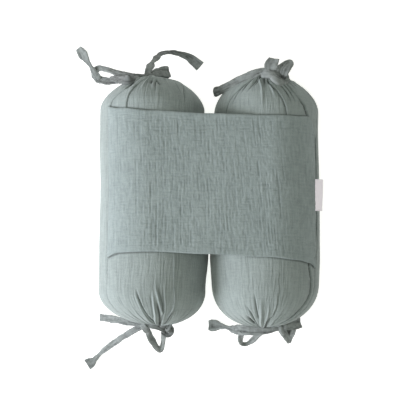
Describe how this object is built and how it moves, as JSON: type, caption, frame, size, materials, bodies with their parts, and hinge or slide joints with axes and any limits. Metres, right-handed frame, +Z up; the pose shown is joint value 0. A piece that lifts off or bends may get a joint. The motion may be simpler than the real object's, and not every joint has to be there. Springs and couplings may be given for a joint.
{
  "type": "baby positioning pillow",
  "caption": "Soft side-support pillow: two filled muslin rolls gathered and tied at their ends, with a flat panel sewn over both.",
  "frame": {"origin": "middle of the pillow's footprint, on the surface it lies on", "axes": "+X across the two rolls, +Y along them towards the top ties, +Z up out of the surface"},
  "size_m": [0.3025, 0.4064, 0.1249],
  "materials": {
    "cover_muslin": "crinkled double gauze in dusty sage, matt",
    "panel_muslin": "crinkled double gauze in dusty sage, matt",
    "tie_muslin": "folded gauze ties, matt",
    "label_tape": "fine woven white tape, blank"
  },
  "bodies": {
    "root": {"bolster_left": "cover_muslin", "bolster_right": "cover_muslin", "panel": "panel_muslin", "label": "label_tape", "tie_top_left_knot": "tie_muslin", "tie_top_left_loop": "tie_muslin", "tie_top_left_tail_left": "tie_muslin", "tie_top_left_tail_right": "tie_muslin", "tie_top_left_ear": "tie_muslin", "tie_top_right_knot": "tie_muslin", "tie_top_right_tail": "tie_muslin", "tie_top_right_ear_up": "tie_muslin", "tie_top_right_ear_side": "tie_muslin", "tie_bottom_left_knot": "tie_muslin", "tie_bottom_left_strap": "tie_muslin", "tie_bottom_left_tail": "tie_muslin", "tie_bottom_left_loop": "tie_muslin", "tie_bottom_left_ear": "tie_muslin", "tie_bottom_right_knot": "tie_muslin", "tie_bottom_right_band": "tie_muslin", "tie_bottom_right_tail": "tie_muslin", "tie_bottom_right_loop": "tie_muslin", "tie_bottom_right_end_low": "tie_muslin", "tie_bottom_right_ear": "tie_muslin"}
  },
  "joints": []
}
